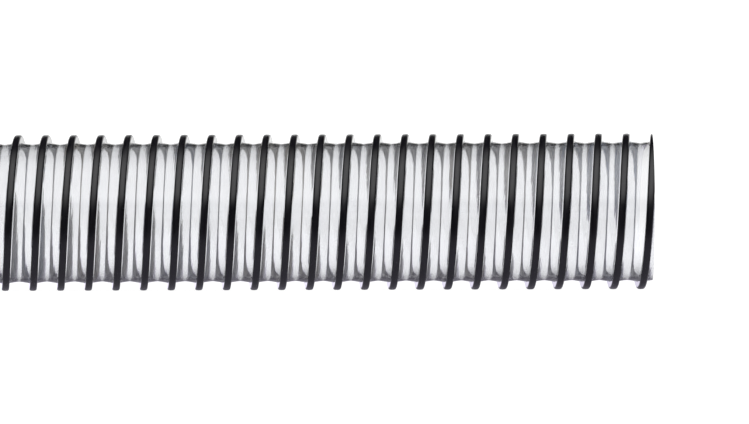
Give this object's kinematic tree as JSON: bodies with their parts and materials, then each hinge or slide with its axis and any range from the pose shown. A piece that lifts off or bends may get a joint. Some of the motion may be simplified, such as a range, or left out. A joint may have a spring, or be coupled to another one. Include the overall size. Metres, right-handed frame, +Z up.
{
  "type": "duct hose",
  "caption": "Clear flexible duct hose with a plain bore and a black spiral rib wound round the outside, cut square at both ends.",
  "frame": {"origin": "on the floor, under the middle of the hose, where the rib's crown rests", "axes": "+X along the hose's axis towards its right-hand cut end, -Y towards the viewer, +Z up"},
  "size_m": [1, 0.1172, 0.1173],
  "materials": {
    "clear_wall": "clear flexible plastic, smooth, with faint streaks along the spiral",
    "black_rib": "black extruded plastic, satin, with slightly glossy edges"
  },
  "bodies": {
    "root": {"clear_wall": "clear_wall", "spiral_rib": "black_rib"}
  },
  "joints": []
}
